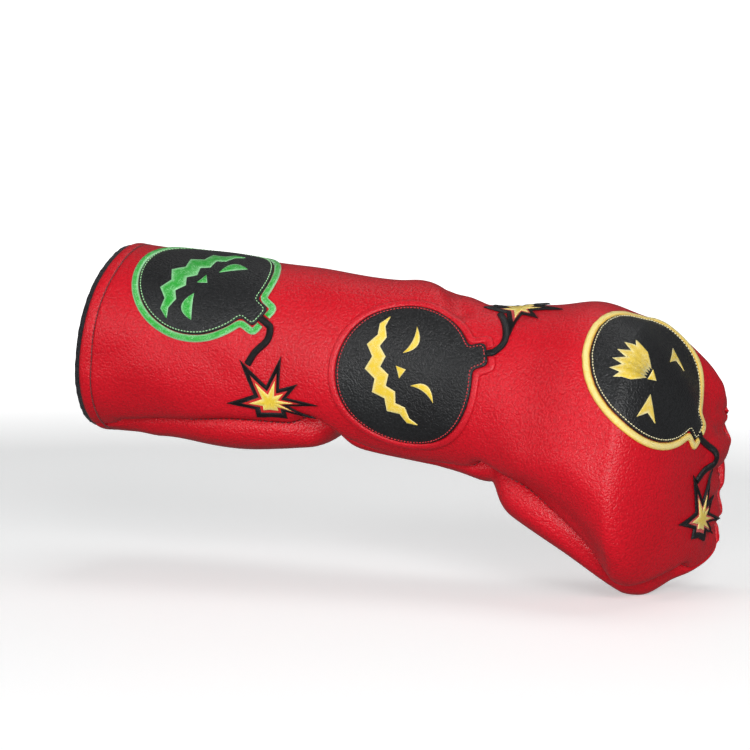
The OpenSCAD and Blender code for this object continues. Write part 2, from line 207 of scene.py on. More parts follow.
def fold_height(u, a):
    """Height of the skin's folds over the smooth skin, in mm."""
    points = base(u, a)
    height = np.zeros(u.shape)
    for route, rise, width in FOLDS:
        height += rise * near(points, route, width)
    back = bump_at(a % 360, 186, 78)
    ripple = np.cos(np.radians(a * 360 / GATHER_PITCH) + 1.3 * np.sin(u * 9.0 + a * 0.11))
    height += GATHER_DEPTH * back * bump_at(u, 4.7, 0.62) * (ripple - 0.6)
    swell = (np.sin(points[..., 0] * 0.071 + 1.1) * np.sin(points[..., 2] * 0.083 + 0.4)
             + 0.6 * np.sin(points[..., 0] * 0.13 + points[..., 2] * 0.11 + points[..., 1] * 0.05))
    return height + 0.45 * swell


# ---------------------------------------------------------------- the skin as a fine net
ROWS_PER_SECTION = 24
DEG = 2.0


class Skin:
    """A fine net of points over (u, a), read between its points by smooth curves."""

    def __init__(self, points):
        self.p = points
        d_a = np.roll(points, -1, 1) - np.roll(points, 1, 1)
        d_u = np.gradient(points, axis=0)
        n = np.cross(d_u, d_a)
        long = np.linalg.norm(n, axis=-1, keepdims=True)
        n = np.where(long > 1e-3, n / np.maximum(long, 1e-9), 0)
        n[-1] = unit(0.3 * unit(n[-2]) + np.array([math.cos(CROWN_DIP), 0, math.sin(CROWN_DIP)]))
        self.n = unit(n)

    def read(self, net, i, j):
        m, k = net.shape[:2]
        i0 = np.clip(np.floor(i).astype(int), 0, m - 2)
        j0 = np.floor(j).astype(int)
        f, g = (i - i0)[..., None], (j - j0)[..., None]

        def weights(t):
            return [0.5 * (-t + 2 * t * t - t ** 3), 0.5 * (2 - 5 * t * t + 3 * t ** 3),
                    0.5 * (t + 4 * t * t - 3 * t ** 3), 0.5 * (-t * t + t ** 3)]
        out = 0
        wf, wg = weights(f), weights(g)
        for x in range(4):
            row = np.clip(i0 + x - 1, 0, m - 1)
            for y in range(4):
                out = out + wf[x] * wg[y] * net[row, (j0 + y - 1) % k]
        return out

    def at(self, u, a, o=0.0):
        u, a, o = np.broadcast_arrays(np.asarray(u, float), np.asarray(a, float),
                                      np.asarray(o, float))
        inside = np.clip(u, 0, LAST + 1)
        i, j = inside * ROWS_PER_SECTION, a / DEG
        p = self.read(self.p, i, j) + o[..., None] * unit(self.read(self.n, i, j))
        if (u < 0).any():
            step = (self.read(self.p, i + 1, j) - self.read(self.p, i, j)) * ROWS_PER_SECTION
            p = p + np.minimum(u, 0)[..., None] * step
        return p


net_u, net_a = np.meshgrid(np.arange(0, (LAST + 1) * ROWS_PER_SECTION + 1) / ROWS_PER_SECTION,
                           np.arange(0, 360, DEG), indexing="ij")
folds = fold_height(net_u, net_a)
skin = Skin(base(net_u, net_a, folds))


def below(u, a, o):
    """Place under the folded skin, at a depth measured from it, for the layers inside."""
    inside = np.clip(u, 0, LAST + 1)
    fold = skin.read(folds[..., None], inside * ROWS_PER_SECTION, a / DEG)[..., 0]
    p = base(inside, a, fold + o)
    if (u < 0).any():
        p = p + np.minimum(u, 0)[..., None] * (base(inside + 0.04, a, fold + o) - p) / 0.04
    return p


# ---------------------------------------------------------------- flat patterns on the skin
FAN_RAYS, FAN_STEP = 120, 1.0


def slopes(u, a):
    return ((base(u + 0.002, a) - base(u - 0.002, a)) / 0.004,
            (base(u, a + 1) - base(u, a - 1)) / 2)


class Pattern:
    """A flat pattern laid on the smooth skin: distances are true along rays from its centre."""

    def __init__(self, centre, reach):
        u = np.full(FAN_RAYS, float(centre[0]))
        a = np.full(FAN_RAYS, float(centre[1]))
        du, da = slopes(u, a)
        e = unit(du)
        f = np.cross(unit(np.cross(du, da)), e)
        w = np.radians(np.arange(FAN_RAYS) * 360 / FAN_RAYS)[:, None]
        t = e * np.cos(w) + f * np.sin(w)
        rows = [np.stack([u, a], -1)]
        for _ in range(int(math.ceil(reach / FAN_STEP)) + 1):
            ee, ff, gg = (du * du).sum(-1), (du * da).sum(-1), (da * da).sum(-1)
            tu, ta = (t * du).sum(-1), (t * da).sum(-1)
            k = np.maximum(ee * gg - ff * ff, 1e-6)
            u = np.clip(u + FAN_STEP * (gg * tu - ff * ta) / k, -0.15, LAST + 0.992)
            a = a + FAN_STEP * (ee * ta - ff * tu) / k
            du, da = slopes(u, a)
            n = unit(np.cross(du, da))
            t = unit(t - (t * n).sum(-1, keepdims=True) * n)
            rows.append(np.stack([u, a], -1))
        self.fan = np.stack(rows, 1)

    def lay(self, p):
        p = np.asarray(p, float)
        r = np.hypot(p[..., 0], p[..., 1]) / FAN_STEP
        i = np.minimum(np.floor(r).astype(int), self.fan.shape[1] - 2)
        w = (np.degrees(np.arctan2(p[..., 1], p[..., 0])) % 360) * FAN_RAYS / 360
        k = np.floor(w).astype(int) % FAN_RAYS
        f, g = (r - i)[..., None], (w - np.floor(w))[..., None]
        near_ray = (1 - f) * self.fan[k, i] + f * self.fan[k, i + 1]
        next_ray = (1 - f) * self.fan[(k + 1) % FAN_RAYS, i] + f * self.fan[(k + 1) % FAN_RAYS, i + 1]
        return (1 - g) * near_ray + g * next_ray


# ---------------------------------------------------------------- mesh helpers
def make_object(name, verts, faces, material, flat=None):
    mesh = bpy.data.meshes.new(name)
    mesh.from_pydata((np.asarray(verts) * MM).tolist(), [], faces)
    mesh.validate()
    mesh.update()
    mesh.shade_smooth()
    if flat is not None:
        layer = mesh.attributes.new("flat", "FLOAT_VECTOR", "POINT")
        layer.data.foreach_set("vector", np.asarray(flat, np.float32).ravel())
    mesh.materials.append(material)
    piece = bpy.data.objects.new(name, mesh)
    bpy.context.scene.collection.objects.link(piece)
    return piece


def shell_faces(m, n, closed, cap, first=0):
    """Faces of a closed solid between a top net and a low net of m by n points each."""
    w = n if closed else n - 1
    k = m * n

    def at(i, j):
        return first + i * n + j % n
    faces = []
    start = 1 if cap else 0
    for i in range(start, m - 1):
        for j in range(w):
            faces.append((at(i, j), at(i + 1, j), at(i + 1, j + 1), at(i, j + 1)))
            faces.append((k + at(i, j), k + at(i, j + 1), k + at(i + 1, j + 1), k + at(i + 1, j)))
    for j in range(w):
        faces.append((at(m - 1, j), k + at(m - 1, j), k + at(m - 1, j + 1), at(m - 1, j + 1)))
        if cap:
            faces.append((at(0, 0), at(1, j), at(1, j + 1)))
            faces.append((k + at(0, 0), k + at(1, j + 1), k + at(1, j)))
        else:
            faces.append((at(0, j), at(0, j + 1), k + at(0, j + 1), k + at(0, j)))
    if not closed:
        for i in range(m - 1):
            faces.append((at(i, 0), k + at(i, 0), k + at(i + 1, 0), at(i + 1, 0)))
            faces.append((at(i, n - 1), at(i + 1, n - 1), k + at(i + 1, n - 1), k + at(i, n - 1)))
    return faces


def shell(name, top, low, material, closed=False, cap=False, flat=None):
    """Closed solid between two nets of points, in mm."""
    m, n = top.shape[:2]
    verts = np.concatenate([top.reshape(-1, 3), low.reshape(-1, 3)])
    if flat is not None:
        flat = np.concatenate([flat.reshape(-1, 3)] * 2)
    faces = shell_faces(m, n, closed, cap)
    if cap:
        # a capped net's first row is one point: the spare copies are left out
        keep = np.ones(len(verts), bool)
        keep[1:n] = False
        keep[m * n + 1:m * n + n] = False
        number = np.cumsum(keep) - 1
        faces = [tuple(int(number[v]) for v in f) for f in faces]
        verts = verts[keep]
        flat = None if flat is None else flat[keep]
    return make_object(name, verts, faces, material, flat)


def resample(line, pitch, closed=False):
    """Points an even distance apart along a polyline."""
    line = np.asarray(line, float)
    if closed:
        line = np.concatenate([line, line[:1]])
    s = np.concatenate([[0], np.cumsum(np.linalg.norm(np.diff(line, axis=0), axis=1))])
    count = max(2, int(round(s[-1] / pitch)))
    t = np.linspace(0, s[-1], count + 1)
    out = np.stack([np.interp(t, s, line[:, c]) for c in range(line.shape[1])], -1)
    return out[:-1] if closed else out


def sideways(line, closed):
    """Unit vectors to the left of a flat line, lengthened at corners so a band keeps its width."""
    if closed:
        before, after = line - np.roll(line, 1, 0), np.roll(line, -1, 0) - line
    else:
        step = np.diff(line, axis=0)
        before, after = np.concatenate([step[:1], step]), np.concatenate([step, step[-1:]])
    before, after = unit(before), unit(after)
    turn = unit(before + after)
    left = np.stack([-turn[:, 1], turn[:, 0]], -1)
    stretch = 1 / np.clip((turn * before).sum(-1), 0.42, 1)
    return left * stretch[:, None]


def crowned(t, power=2.4):
    return np.maximum(0, 1 - np.abs(t) ** power) ** 0.6


def band(name, pattern, line, half, low, edge, crest, material, closed=False, across=8,
         taper=None):
    """Raised band along a flat line of a pattern: edge and crest are heights over the leather."""
    side = sideways(line, closed)
    t = np.linspace(-1, 1, across + 1)
    width = half if taper is None else half * taper[:, None, None]
    flat_points = line[:, None] + side[:, None] * t[None, :, None] * width
    place = pattern.lay(flat_points)
    height = edge + (crest - edge) * crowned(t)[None, :] * np.ones((len(line), 1))
    top = skin.at(place[..., 0], place[..., 1], height)
    bottom = skin.at(place[..., 0], place[..., 1], low)
    steps = np.linalg.norm(np.diff(line, axis=0, prepend=line[:1]), axis=1)
    s = np.cumsum(steps)[:, None] * np.ones((1, across + 1))
    flat = np.stack([s, t[None, :] * half * np.ones_like(s), np.abs(t)[None, :] * np.ones_like(s)],
                    -1)
    if closed:
        return loop_shell(name, top, bottom, material, flat)
    return shell(name, top, bottom, material, flat=flat)


def loop_shell(name, top, low, material, flat=None):
    """Closed ring: the nets' rows run round it, so rows and columns change places."""
    top, low = top.transpose(1, 0, 2)[::-1], low.transpose(1, 0, 2)[::-1]
    if flat is not None:
        flat = flat.transpose(1, 0, 2)[::-1]
    return shell(name, top, low, material, closed=True, flat=flat)


def stitches(name, points, normals, tangents, length, radius, material):
    """A row of short thread capsules, centred on the given points, in mm."""
    sides, rings = 6, 5
    t = np.linspace(-1, 1, rings)
    verts, faces, flats = [], [], []
    for p, n, d in zip(points, normals, tangents):
        b = np.cross(n, d)
        first = len(verts)
        for x in t:
            r = radius * math.sqrt(max(0.12, 1 - abs(x) ** 3))
            sink = -radius * 0.9 * x * x
            for k in range(sides):
                w = 2 * math.pi * k / sides
                verts.append(p + d * x * length / 2
                             + n * (r * math.sin(w) + sink) + b * r * math.cos(w))
                flats.append((x * length / 2, r * math.cos(w), abs(x)))
        for i in range(rings - 1):
            for k in range(sides):
                q = first + i * sides
                faces.append((q + k, q + sides + k, q + sides + (k + 1) % sides,
                              q + (k + 1) % sides))
        faces.append(tuple(first + k for k in range(sides)))
        faces.append(tuple(first + (rings - 1) * sides + k for k in range(sides - 1, -1, -1)))
    return make_object(name, np.array(verts), faces, material, np.array(flats))


def stitch_row(name, u, a, height, length, radius, material, closed=False):
    """Stitches centred on every second point of a line of places on the skin."""
    p = skin.at(u, a, height)
    up = unit(skin.at(u, a, height + 1.0) - p)
    if closed:
        d = unit(np.roll(p, -1, 0) - np.roll(p, 1, 0))
    else:
        d = unit(np.gradient(p, axis=0))
    return stitches(name, p[::2], up[::2], d[::2], length, radius, material)


# ---------------------------------------------------------------- materials
class Graph:
    """Short names for building a node material."""

    def __init__(self, name):
        self.material = bpy.data.materials.new(name)
        self.material.use_nodes = True
        self.tree = self.material.node_tree
        self.shader = self.tree.nodes["Principled BSDF"]

    def node(self, kind, **values):
        n = self.tree.nodes.new(kind)
        for key, value in values.items():
            if hasattr(n, key) and key not in n.inputs:
                setattr(n, key, value)
            else:
                n.inputs[key].default_value = value
        return n

    def link(self, a, b):
        self.tree.links.new(a, b)

    def math(self, operation, a, b=0.5, clamp=False):
        n = self.tree.nodes.new("ShaderNodeMath")
        n.operation = operation
        n.use_clamp = clamp
        for socket, value in zip(n.inputs, (a, b)):
            if isinstance(value, (int, float)):
                socket.default_value = value
            else:
                self.link(value, socket)
        return n.outputs[0]

    def mix(self, factor, a, b):
        n = self.tree.nodes.new("ShaderNodeMix")
        n.data_type = "RGBA"
        for socket, value in ((n.inputs[0], factor), (n.inputs[6], a), (n.inputs[7], b)):
            if isinstance(value, (int, float)):
                socket.default_value = value
            elif isinstance(value, tuple):
                socket.default_value = (*value, 1.0)
            else:
                self.link(value, socket)
        return n.outputs[2]

    def ramp(self, value, low, high):
        n = self.node("ShaderNodeMapRange", clamp=True)
        n.inputs["From Min"].default_value = low
        n.inputs["From Max"].default_value = high
        self.link(value, n.inputs["Value"])
        return n.outputs["Result"]

    def position(self, scale):
        where = self.node("ShaderNodeTexCoord")
        n = self.node("ShaderNodeVectorMath", operation="SCALE")
        n.inputs["Scale"].default_value = scale
        self.link(where.outputs["Object"], n.inputs[0])
        return n.outputs[0]

    def noise(self, vector, scale, detail=2.0, rough=0.5):
        n = self.node("ShaderNodeTexNoise")
        n.inputs["Scale"].default_value = scale
        n.inputs["Detail"].default_value = detail
        n.inputs["Roughness"].default_value = rough
        self.link(vector, n.inputs["Vector"])
        return n

    def bump(self, height, distance, strength=1.0, under=None):
        n = self.node("ShaderNodeBump")
        n.inputs["Distance"].default_value = distance
        n.inputs["Strength"].default_value = strength
        self.link(height, n.inputs["Height"])
        if under is not None:
            self.link(under, n.inputs["Normal"])
        return n.outputs["Normal"]

    def set(self, **values):
        names = {"rough": "Roughness", "specular": "Specular IOR Level", "sheen": "Sheen Weight",
                 "sheen_rough": "Sheen Roughness"}
        for key, value in values.items():
            socket = self.shader.inputs[names[key]]
            if isinstance(value, (int, float)):
                socket.default_value = value
            else:
                self.link(value, socket)


def leather(name, colour, shade_colour, light, cell=1.15, depth=0.0003, rough=0.38, specular=0.32):
    """Pebble-grained synthetic leather, painted darker in its grain's pits as shade; cell is the grain's
    size in mm.
    """
    g = Graph(name)
    mm = g.position(1000.0)
    warp = g.noise(mm, 0.55, 2.0)
    push = g.node("ShaderNodeVectorMath", operation="MULTIPLY_ADD")
    g.link(warp.outputs["Color"], push.inputs[0])
    push.inputs[1].default_value = (0.9, 0.9, 0.9)
    g.link(mm, push.inputs[2])
    grain = g.node("ShaderNodeTexVoronoi", feature="SMOOTH_F1")
    grain.inputs["Scale"].default_value = 1 / cell
    grain.inputs["Smoothness"].default_value = 0.35
    g.link(push.outputs[0], grain.inputs["Vector"])
    creases = g.node("ShaderNodeTexVoronoi", feature="DISTANCE_TO_EDGE")
    creases.inputs["Scale"].default_value = 1 / (2.6 * cell)
    g.link(push.outputs[0], creases.inputs["Vector"])
    fine = g.noise(mm, 2.6, 3.0, 0.6)
    pebble = g.math("MULTIPLY", grain.outputs["Distance"], -1.0)
    wrinkle = g.ramp(creases.outputs["Distance"], 0.0, 0.12)
    height = g.math("ADD", g.math("ADD", pebble, g.math("MULTIPLY", wrinkle, 0.3)),
                    g.math("MULTIPLY", fine.outputs["Fac"], 0.3))
    broad = g.noise(mm, 0.028, 2.0)
    tone = g.mix(g.ramp(broad.outputs["Fac"], 0.3, 0.7), colour, light)
    # The grain's pits are painted darker towards the shade colour: painted shade in the recesses.
    pit_shade = g.ramp(grain.outputs["Distance"], 0.35, 0.75)
    g.set(rough=g.math("ADD", g.math("MULTIPLY", fine.outputs["Fac"], 0.16), rough - 0.08))
    g.link(g.mix(g.math("MULTIPLY", pit_shade, 0.45), tone, shade_colour), g.shader.inputs["Base Color"])
    g.link(g.bump(height, depth), g.shader.inputs["Normal"])
    g.set(specular=specular)
    return g.material


def satin(name, colour, edge_colour, pitch=0.6, depth=0.00016, edge_from=0.45, rough=0.36,
          sheen=0.15, specular=0.5):
    """Satin embroidery: threads lie side by side across the stitched shape, with their sheen and the shade
    between them painted into the colour.
    """
    g = Graph(name)
    flat = g.node("ShaderNodeAttribute", attribute_name="flat")
    split = g.node("ShaderNodeSeparateXYZ")
    g.link(flat.outputs["Vector"], split.inputs[0])
    wobble = g.noise(g.position(1000.0), 0.9, 2.0)
    s = g.math("ADD", split.outputs["X"], g.math("MULTIPLY", wobble.outputs["Fac"], 0.5))
    wave = g.math("SINE", g.math("MULTIPLY", s, 2 * math.pi / pitch))
    thread = g.math("ADD", g.math("MULTIPLY", wave, 0.5), 0.5)
    streak = g.noise(g.position(1000.0), 1.7, 3.0)
    # Colour shifts from the band's centre to its edges: painted sheen, as light edges on most satins and
    # as a paler centre on the cream one.
    rim = g.ramp(split.outputs["Z"], edge_from, 1.0)
    tone = g.mix(rim, colour, edge_colour)
    # Darker between the threads, where the bump is low: painted shade in the grooves.
    shade_colour = tuple(c * 0.55 for c in colour)
    shade = g.math("MULTIPLY", g.math("SUBTRACT", 1.0, thread), 0.55)
    tone = g.mix(shade, tone, shade_colour)
    # Where the streaks and this noise meet, patches take the edge colour: painted sheen.
    shine = g.noise(g.position(1000.0), 0.3, 2.0)
    light = g.math("MULTIPLY", g.ramp(streak.outputs["Fac"], 0.45, 0.7),
                   g.ramp(shine.outputs["Fac"], 0.35, 0.65))
    tone = g.mix(g.math("MULTIPLY", light, 0.7), tone, edge_colour)
    g.link(tone, g.shader.inputs["Base Color"])
    g.link(g.bump(g.math("ADD", thread, g.math("MULTIPLY", streak.outputs["Fac"], 0.7)), depth),
           g.shader.inputs["Normal"])
    g.set(rough=rough, specular=specular, sheen=sheen, sheen_rough=0.3)
    return g.material


def thread(name, colour):
    """Twisted sewing thread, painted darker in the grooves of its twist as shade."""
    g = Graph(name)
    flat = g.node("ShaderNodeAttribute", attribute_name="flat")
    split = g.node("ShaderNodeSeparateXYZ")
    g.link(flat.outputs["Vector"], split.inputs[0])
    slant = g.math("ADD", g.math("MULTIPLY", split.outputs["X"], 9.0),
                   g.math("MULTIPLY", split.outputs["Y"], 8.0))
    twist = g.math("ADD", g.math("MULTIPLY", g.math("SINE", slant), 0.5), 0.5)
    # Darker where the twist is low: painted shade in its grooves.
    g.link(g.mix(g.math("MULTIPLY", g.math("SUBTRACT", 1.0, twist), 0.5), colour,
                 tuple(c * 0.4 for c in colour)), g.shader.inputs["Base Color"])
    g.link(g.bump(twist, 0.00006), g.shader.inputs["Normal"])
    g.set(rough=0.5, sheen=0.2)
    return g.material


def fleece(name, colour, light, scale=0.8, depth=0.0005):
    """Short soft pile."""
    g = Graph(name)
    mm = g.position(1000.0)
    tufts = g.noise(mm, scale, 4.0, 0.7)
    hairs = g.noise(mm, scale * 5, 3.0, 0.7)
    g.link(g.mix(g.ramp(tufts.outputs["Fac"], 0.35, 0.7), colour, light),
           g.shader.inputs["Base Color"])
    g.link(g.bump(g.math("ADD", tufts.outputs["Fac"],
                         g.math("MULTIPLY", hairs.outputs["Fac"], 0.4)), depth),
           g.shader.inputs["Normal"])
    g.set(rough=0.95, specular=0.1, sheen=0.12, sheen_rough=0.5)
    return g.material


def knit(name, colour, rib):
    """Ribbed elastic or open foam, with ribs along the cover."""
    g = Graph(name)
    mm = g.position(1000.0)
    rows = g.node("ShaderNodeTexWave", wave_type="BANDS", bands_direction="X")
    rows.inputs["Scale"].default_value = 1 / rib
    rows.inputs["Distortion"].default_value = 0.6
    g.link(mm, rows.inputs["Vector"])
    cells = g.noise(mm, 2.4, 3.0, 0.6)
    g.link(g.mix(g.math("MULTIPLY", rows.outputs["Fac"], 0.5), colour,
                 tuple(c * 0.55 for c in colour)), g.shader.inputs["Base Color"])
    g.link(g.bump(g.math("ADD", rows.outputs["Fac"], cells.outputs["Fac"]), 0.0003),
           g.shader.inputs["Normal"])
    g.set(rough=0.85, sheen=0.25)
    return g.material


# Each leather's second colour is the painted shade in its grain's pits; the third is a lighter tone laid
# at random.
RED = leather("red_leather", (0.55, 0.004, 0.013), (0.36, 0.002, 0.008), (0.60, 0.005, 0.016))
BLACK = leather("black_leather", (0.012, 0.012, 0.013), (0.004, 0.004, 0.004),
                (0.018, 0.019, 0.020), cell=1.1, depth=0.0003, rough=0.38, specular=0.3)
PIPING = leather("red_piping", (0.56, 0.006, 0.016), (0.30, 0.002, 0.008), (0.62, 0.012, 0.024),
                 cell=0.9, depth=0.0002, rough=0.36)
# Each satin's second colour goes to the edges of its band and to patches along it as painted sheen; on the
# cream satin the paler centre is the painted sheen.
GREEN_SATIN = satin("green_satin", (0.004, 0.45, 0.02), (0.55, 1.0, 0.6))
GOLD_SATIN = satin("gold_satin", (1.0, 0.70, 0.04), (1.0, 0.96, 0.6))
CREAM_SATIN = satin("cream_satin", (1.0, 0.84, 0.30), (0.92, 0.52, 0.01), edge_from=0.35)
BLACK_SATIN = satin("black_satin", (0.007, 0.007, 0.008), (0.02, 0.02, 0.022), sheen=0.0,
                    specular=0.3)
BURST_RED = satin("burst_red", (0.62, 0.008, 0.012), (0.75, 0.03, 0.03))
BURST_YELLOW = satin("burst_yellow", (0.98, 0.70, 0.05), (1.0, 0.86, 0.3))
HEM_THREAD = thread("hem_thread", (0.17, 0.003, 0.008))
RED_THREAD = thread("red_thread", (0.75, 0.02, 0.03))
GREEN_THREAD = thread("green_thread", (0.45, 0.90, 0.42))
CREAM_THREAD = thread("cream_thread", (0.92, 0.84, 0.50))
FLEECE = fleece("black_fleece", (0.006, 0.006, 0.008), (0.03, 0.03, 0.034))
FOAM = knit("foam", (0.34, 0.34, 0.36), 40.0)
ELASTIC = knit("elastic", (0.10, 0.10, 0.11), 2.0)


def stands_for(piece, node):
    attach(piece, "root")
    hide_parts(node)
    return piece


# ---------------------------------------------------------------- leather panels
SEAM_ROLL, SEAM_WIDTH, SEAM_GAP = 2.0, 1.5, 0.06
HEM_ROW = 7.0
MOUTH_MM = SECTIONS[1][0]


def crown_mm(u):
    """Distance to the crown seam over the rounded end."""
    return (LAST + 1 - u) * 70.0


def panel_profile(u, edge_mm):
    """How far the leather sinks into a seam edge_mm away, and rolls at the rim of the mouth."""
    roll = np.maximum(np.exp(-(edge_mm / SEAM_WIDTH) ** 2),
                      np.exp(-(crown_mm(u) / 1.8) ** 2))
    s = u * MOUTH_MM
    rim = -1.1 * np.exp(-(s / 0.9) ** 2) + 0.35 * np.exp(-((s - 3.2) / 2.2) ** 2)
    hem = -0.55 * np.exp(-((s - HEM_ROW) / 0.75) ** 2)
    return -SEAM_ROLL * roll + rim + hem


def panel_rows():
    hem = np.array([0, 0.3, 0.7, 1.2, 1.9, 2.8, 3.8, 4.8, 5.7, 6.2, 6.6, 7.0, 7.4, 7.8, 8.6, 9.8])
    body = np.arange(11.0, LAST * MOUTH_MM, 1.9) / MOUTH_MM
    crown = LAST + 1 - np.concatenate([np.arange(69.0, 6.0, -1.7),
                                       [5.2, 4.2, 3.3, 2.5, 1.8, 1.2, 0.7, 0.35]]) / 70.0
    return np.concatenate([hem / MOUTH_MM, body[body < LAST], crown])


def panel(name, low_seam, high_seam, columns):
    u = panel_rows()[:, None]
    v = np.linspace(0, 1, columns + 1)
    v = 0.5 * v + 0.25 * (1 - np.cos(math.pi * v))
    per_degree = np.linalg.norm((base(u, low_seam(u) + 1) - base(u, low_seam(u))), axis=-1)
    per_degree = np.maximum(per_degree, 0.25)
    a0, a1 = low_seam(u) + SEAM_GAP / per_degree, high_seam(u) - SEAM_GAP / per_degree
    a = a0 + (a1 - a0) * v[None]
    edge = np.minimum(a - low_seam(u), high_seam(u) - a) * per_degree
    o = panel_profile(u, edge)
    uu = u * np.ones_like(a)
    return shell(name, skin.at(uu, a, o), skin.at(uu, a, o - LEATHER_T), RED)


front = panel("front_leather", bottom_seam, top_seam, 118)
stands_for(front, "front_panel")
back = panel("back_leather", top_seam, lambda u: 360 + bottom_seam(u), 96)
stands_for(back, "back_panel")


# ---------------------------------------------------------------- foam, lining and elastic
def pouch(name, rows, top, low, material, sides=96, ruffle=0.0):
    """Layer that goes all the way round, between two depths."""
    u = np.asarray(rows)[:, None]
    a = np.arange(-90, 270, 360 / sides)[None]
    uu, aa = u * np.ones_like(a), a * np.ones_like(u)
    fuzz = ruffle * (np.sin(uu * 210 + aa * 1.7) * np.sin(aa * 2.3 + 0.9)
                     + 0.6 * np.sin(aa * 5.1 + uu * 330))
    return shell(name, below(uu, aa, top + fuzz), below(uu, aa, low - fuzz), material, closed=True)


BINDING_W = 0.14
CROWN_ROWS = LAST + np.linspace(0, 0.997, 24)
lining = pouch("fleece_lining", np.concatenate([[-0.06, -0.045, -0.02, 0.01, 0.06],
                                                np.arange(0.1, LAST, 0.1), CROWN_ROWS]),
               LINING_TOP, LINING_LOW, FLEECE, sides=144, ruffle=0.12)
stands_for(lining, "lining")
binding = pouch("fleece_binding", np.concatenate([[-0.07, -0.062, -0.045, -0.025, 0],
                                                  np.linspace(0.01, BINDING_W, 8)]),
                -LEATHER_T - 0.3, FOAM_LOW, FLEECE, sides=240, ruffle=0.22)
stands_for(binding, "mouth_binding")
sleeve_foam = pouch("sleeve_padding", np.arange(BINDING_W + 0.02, 4.0, 0.1), FOAM_TOP, FOAM_LOW,
                    FOAM)
stands_for(sleeve_foam, "sleeve_foam")
head_foam = pouch("head_padding", np.concatenate([np.arange(5.5, LAST, 0.1), CROWN_ROWS]),
                  FOAM_TOP, FOAM_LOW, FOAM)
stands_for(head_foam, "head_foam")
elastic = pouch("neck_elastic", np.arange(4.3, 5.31, 0.05), FOAM_TOP, FOAM_TOP - 1.6, ELASTIC,
                sides=144, ruffle=0.1)
stands_for(elastic, "elastic_band")


# ---------------------------------------------------------------- seams and the hem's stitches
def seam_line(angle, u0, u1, pitch, height, name, node):
    u = np.linspace(u0, u1, 1200)
    p = skin.at(u, angle(u), 0)
    line = resample(np.column_stack([p, u]), pitch / 2)
    row = stitch_row(name, line[:, 3], angle(line[:, 3]), height, pitch * 0.7, 0.32, HEM_THREAD)
    return stands_for(row, node)


seam_line(bottom_seam, 0.2, 8.9, 3.2, -1.6, "bottom_seam_stitches", "bottom_seam_thread")
seam_line(top_seam, 0.2, 8.9, 3.2, -1.6, "top_seam_stitches", "top_seam_thread")
crown_a = np.linspace(-84, 84, 34)
crown_row = stitch_row("crown_seam_stitches", np.full(34, LAST + 0.999), crown_a, -1.5, 2.2,
                       0.32, HEM_THREAD)
stands_for(crown_row, "crown_seam_thread")
hem_pitch = 2.5
ring = np.linspace(0, 360, 1441)[:-1]
hem_p = skin.at(np.full(1440, HEM_ROW / MOUTH_MM), ring, 0)
hem = resample(np.column_stack([hem_p, ring]), hem_pitch / 2, closed=False)
hem = hem[:2 * (len(hem) // 2)]
hem_row = stitch_row("hem_stitches", np.full(len(hem), HEM_ROW / MOUTH_MM), hem[:, 3], -0.15,
                     1.9, 0.4, HEM_THREAD)
stands_for(hem_row, "hem_stitching")


# ---------------------------------------------------------------- appliques
# centre, radius, direction of the stub, fuse's route past the border, burst's centre, turn
# and rays, shift of the face, mouth (half span, radius, height of its centre, thickness,
# teeth, their depth, taper), eyes (width, rise, fall, tilt, apart, up, pointed)
MOTIFS = {
    "green": dict(centre=(1.40, 55), r=PATCH_R - 1, stub=-30,
                  fuse=[(2.5, 21), (2.49, 13.5), (2.36, 6), (2.28, -1.5)], burst=((2.56, -26), 0, 0),
                  shift=(4, 5), mouth=(48, 38, 24, 13, 6, 4, 2), eyes=(15, 0.4, 6.5, 40, 15, 6, False),
                  border=(GREEN_SATIN, "green_satin"), thread=(GREEN_THREAD, "green_satin"),
                  face=(GREEN_SATIN, "green_satin")),
    "red": dict(centre=(4.12, 2.5), r=PATCH_R, stub=26,
                fuse=[(5.5, 40), (5.47, 49), (5.34, 60), (5.22, 68)], burst=((5.45, 84), 0, 1),
                shift=(-3, 0), mouth=(47, 40, 26, 10, 6, 3.8, 2), eyes=(15, 5.5, -1.4, 40, 14.5, 7, False),
                border=(PIPING, "red_piping"), thread=(RED_THREAD, "red_thread"),
                face=(GOLD_SATIN, "gold_satin")),
    "gold": dict(centre=(8.24, 53), r=HEAD_PATCH_R, stub=-16,
                 fuse=[(8.8, 19), (8.81, 11), (8.74, 5.5), (8.68, -1)], burst=((8.74, -27), -4, 0),
                 shift=(9, 0), mouth=(37, 16, 3, 19, 6, 4, 10), eyes=(12, 14, -3, 118, 20, 9, True),
                 border=(CREAM_SATIN, "cream_satin"), thread=(CREAM_THREAD, "cream_satin"),
                 face=(GOLD_SATIN, "gold_satin")),
}
# Rays of the bursts, as direction and share of the longest, and how deep the valleys go
STAR_RAYS = [
    [(120, 1.0), (70, 0.96), (30, 0.7), (-5, 0.96), (-30, 0.92), (-62, 0.5), (-135, 0.46),
     (-180, 0.88)],
    [(341, 1.0), (312, 0.8), (275, 1.0), (200, 0.7), (150, 0.9), (105, 0.6), (65, 0.9),
     (20, 0.55)]]
VALLEY = 0.34
PATCH_LOW, PATCH_EDGE, PATCH_TOP = 0.25, 0.6, 1.15
STITCH_INSET, STITCH_PITCH = 1.3, 1.8


